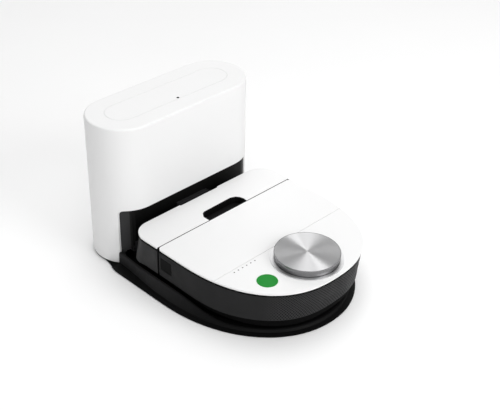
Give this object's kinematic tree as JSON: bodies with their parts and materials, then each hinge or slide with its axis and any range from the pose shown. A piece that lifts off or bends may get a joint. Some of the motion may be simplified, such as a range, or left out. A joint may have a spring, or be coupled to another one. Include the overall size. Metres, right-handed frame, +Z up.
{
  "type": "robot vacuum with self-emptying dock",
  "caption": "D-shaped robot vacuum with a metal sensor turret, standing in a tall rounded self-emptying dock with a ramped base tray.",
  "frame": {"origin": "on the floor at the centre of the footprint of the dock and the docked robot", "axes": "+Z up; +Y from the round end of the robot towards the tower; +X to the right when facing the tower"},
  "size_m": [0.374, 0.501, 0.2901],
  "materials": {
    "white_shell": "glossy",
    "charcoal_plastic": "satin",
    "black_plastic": "satin",
    "smoked_plastic": "glossy",
    "turned_metal": "radially brushed",
    "green_button": "satin",
    "pale_ring": "satin",
    "soft_rubber": "matte",
    "tyre_rubber": "matte",
    "grey_plastic": "satin",
    "light_grey_plastic": "satin",
    "bright_steel": "bright",
    "contact_brass": "polished",
    "circuit_board": "satin",
    "battery_film": "satin",
    "brush_fins": "matte",
    "bag_fleece": "matte",
    "filter_paper": "matte"
  },
  "bodies": {
    "dock": {"base_tray": "black_plastic", "tray_rails": "black_plastic", "base_feet": "soft_rubber", "tower_shell": "white_shell", "tower_liner": "charcoal_plastic", "dock_frame": "light_grey_plastic", "dust_bag": "bag_fleece", "dock_fan_housing": "grey_plastic", "suction_duct": "grey_plastic", "duct_seal": "soft_rubber", "power_supply": "grey_plastic", "power_inlet": "grey_plastic"},
    "lid": {"tower_lid": "white_shell", "lid_light": "smoked_plastic"},
    "dock_fan": {"dock_impeller": "light_grey_plastic"},
    "contacts": {"charge_contacts": "contact_brass"},
    "filter_cover": {"rear_grille": "white_shell"},
    "robot": {"robot_chassis": "black_plastic", "side_band": "charcoal_plastic", "exhaust_grille": "charcoal_plastic", "side_sensor_windows": "smoked_plastic", "main_cover": "white_shell", "rear_cover": "white_shell", "button_bezel": "pale_ring", "status_lights": "black_plastic", "lidar_flange": "turned_metal", "lidar_window": "smoked_plastic", "lidar_cap": "turned_metal", "lidar_base": "black_plastic", "lidar_motor": "bright_steel", "lidar_belt": "soft_rubber", "brush_housing": "grey_plastic", "brush_guard": "charcoal_plastic", "brush_motor": "grey_plastic", "side_brush_motor": "grey_plastic", "fan_housing": "grey_plastic", "battery": "battery_film", "main_board": "circuit_board", "charge_pads": "contact_brass", "robot_screws": "bright_steel"},
    "bumper": {"front_bumper": "charcoal_plastic"},
    "bin": {"front_cap": "white_shell", "bin_grip": "black_plastic", "dust_bin": "smoked_plastic", "bin_filter": "filter_paper"},
    "flap": {"bin_flap": "grey_plastic"},
    "button": {"start_button": "green_button"},
    "rotor": {"lidar_rotor": "grey_plastic"},
    "pulley": {"lidar_pulley": "bright_steel"},
    "left_arm": {"left_wheel_arm": "grey_plastic"},
    "right_arm": {"right_wheel_arm": "grey_plastic"},
    "left_drive": {"left_wheel": "grey_plastic", "left_tyre": "tyre_rubber"},
    "right_drive": {"right_wheel": "grey_plastic", "right_tyre": "tyre_rubber"},
    "roller": {"roller_brush": "brush_fins"},
    "corner_brush": {"side_brush": "grey_plastic"},
    "caster": {"caster_fork": "grey_plastic"},
    "caster_roll": {"caster_wheel": "tyre_rubber"},
    "fan": {"fan_impeller": "light_grey_plastic"}
  },
  "joints": [
    {"name": "lid_lift", "type": "slide", "parent": "dock", "child": "lid", "axis": [0, 0, 1], "range_m": [0, 0.12]},
    {"name": "dock_fan_spin", "type": "hinge", "parent": "dock", "child": "dock_fan", "pos_m": [0.11, 0.182, 0.21], "axis": [0, 0, 1], "continuous": true},
    {"name": "contact_press", "type": "slide", "parent": "dock", "child": "contacts", "axis": [0, 1, 0], "range_m": [0, 0.003], "stiffness_N_per_m": 400},
    {"name": "filter_cover_pull", "type": "slide", "parent": "dock", "child": "filter_cover", "axis": [0, 1, 0], "range_m": [0, 0.04]},
    {"name": "robot_drive_out", "type": "slide", "parent": "dock", "child": "robot", "axis": [0, -1, 0], "range_m": [0, 0.4]},
    {"name": "bumper_press", "type": "slide", "parent": "robot", "child": "bumper", "axis": [0, -1, 0], "range_m": [0, 0.003], "stiffness_N_per_m": 600},
    {"name": "bin_lift", "type": "slide", "parent": "robot", "child": "bin", "axis": [0, 0, 1], "range_m": [0, 0.11]},
    {"name": "flap_swing", "type": "hinge", "parent": "bin", "child": "flap", "pos_m": [0, 0.0804, 0.0846], "axis": [1, 0, 0], "range_deg": [0, 40], "stiffness_Nm_per_rad": 0.004},
    {"name": "button_press", "type": "slide", "parent": "robot", "child": "button", "axis": [0, 0, -1], "range_m": [0, 0.0012], "stiffness_N_per_m": 800},
    {"name": "turret_spin", "type": "hinge", "parent": "robot", "child": "rotor", "pos_m": [0, -0.18, 0.095], "axis": [0, 0, 1], "continuous": true},
    {"name": "pulley_spin", "type": "hinge", "parent": "robot", "child": "pulley", "pos_m": [0.045, -0.134, 0.09], "axis": [0, 0, 1], "continuous": true},
    {"name": "left_arm_swing", "type": "hinge", "parent": "robot", "child": "left_arm", "pos_m": [-0.1, -0.086, 0.0453], "axis": [1, 0, 0], "range_deg": [0, 8], "stiffness_Nm_per_rad": 6, "springref_deg": -17.19},
    {"name": "right_arm_swing", "type": "hinge", "parent": "robot", "child": "right_arm", "pos_m": [0.1, -0.086, 0.0453], "axis": [1, 0, 0], "range_deg": [0, 8], "stiffness_Nm_per_rad": 6, "springref_deg": -17.19},
    {"name": "left_wheel_spin", "type": "hinge", "parent": "left_arm", "child": "left_drive", "pos_m": [-0.125, -0.03, 0.0453], "axis": [1, 0, 0], "continuous": true},
    {"name": "right_wheel_spin", "type": "hinge", "parent": "right_arm", "child": "right_drive", "pos_m": [0.125, -0.03, 0.0453], "axis": [1, 0, 0], "continuous": true},
    {"name": "roller_spin", "type": "hinge", "parent": "robot", "child": "roller", "pos_m": [0, 0.0565, 0.034], "axis": [1, 0, 0], "continuous": true},
    {"name": "corner_brush_spin", "type": "hinge", "parent": "robot", "child": "corner_brush", "pos_m": [0.134, 0.066, 0.02], "axis": [0, 0, 1], "continuous": true},
    {"name": "caster_swivel", "type": "hinge", "parent": "robot", "child": "caster", "pos_m": [0, -0.196, 0.04], "axis": [0, 0, 1], "continuous": true},
    {"name": "caster_wheel_spin", "type": "hinge", "parent": "caster", "child": "caster_roll", "pos_m": [0, -0.202, 0.0223], "axis": [1, 0, 0], "continuous": true},
    {"name": "fan_spin", "type": "hinge", "parent": "robot", "child": "fan", "pos_m": [0.045, -0.028, 0.055], "axis": [0, 0, 1], "continuous": true}
  ],
  "couplings": [
    {"joint": "pulley_spin", "follows": "turret_spin", "ratio": 9.2}
  ]
}
